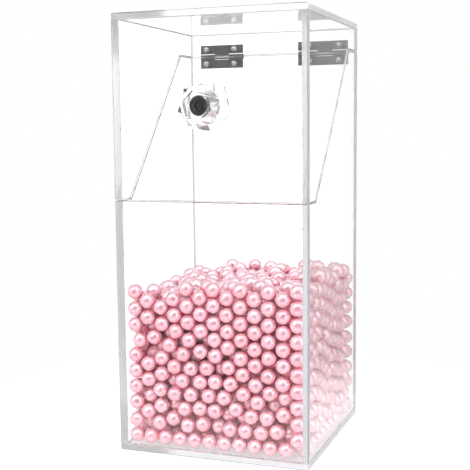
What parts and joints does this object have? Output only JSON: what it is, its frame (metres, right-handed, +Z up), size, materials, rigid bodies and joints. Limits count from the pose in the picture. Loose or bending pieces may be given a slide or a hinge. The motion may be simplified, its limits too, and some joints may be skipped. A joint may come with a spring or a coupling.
{
  "type": "makeup brush holder",
  "caption": "Clear acrylic brush box with a slanted hinged lid, a faceted knob and a bed of pink pearls that holds brushes upright.",
  "frame": {"origin": "middle of the base panel's underside", "axes": "+X to the holder's right seen from the front, +Y to the back, where the hinges are, +Z up"},
  "size_m": [0.1, 0.117, 0.22],
  "materials": {
    "clear_acrylic": "polished",
    "knob_acrylic": "polished",
    "knob_metal": "satin",
    "pink_pearl": "gloss",
    "hinge_steel": "satin",
    "fastener_steel": "gloss"
  },
  "bodies": {
    "body": {"base_panel": "clear_acrylic", "body_front_panel": "clear_acrylic", "body_back_panel": "clear_acrylic", "body_left_panel": "clear_acrylic", "body_right_panel": "clear_acrylic", "pearl_bed": "pink_pearl", "top_pearls": "pink_pearl", "left_hinge_lower_leaf": "hinge_steel", "right_hinge_lower_leaf": "hinge_steel", "left_hinge_pin": "hinge_steel", "right_hinge_pin": "hinge_steel", "body_hinge_screws": "fastener_steel", "body_hinge_nuts": "fastener_steel"},
    "lid": {"lid_top_panel": "clear_acrylic", "lid_front_panel": "clear_acrylic", "lid_back_panel": "clear_acrylic", "lid_left_panel": "clear_acrylic", "lid_right_panel": "clear_acrylic", "left_hinge_upper_leaf": "hinge_steel", "right_hinge_upper_leaf": "hinge_steel", "lid_hinge_screws": "fastener_steel", "lid_hinge_nuts": "fastener_steel", "knob": "knob_acrylic", "knob_insert": "knob_metal", "knob_screw": "knob_metal"}
  },
  "joints": [
    {"name": "lid_hinge", "type": "hinge", "parent": "body", "child": "lid", "pos_m": [0, 0.05145, 0.20465], "axis": [-1, 0, 0], "range_deg": [0, 180]}
  ]
}
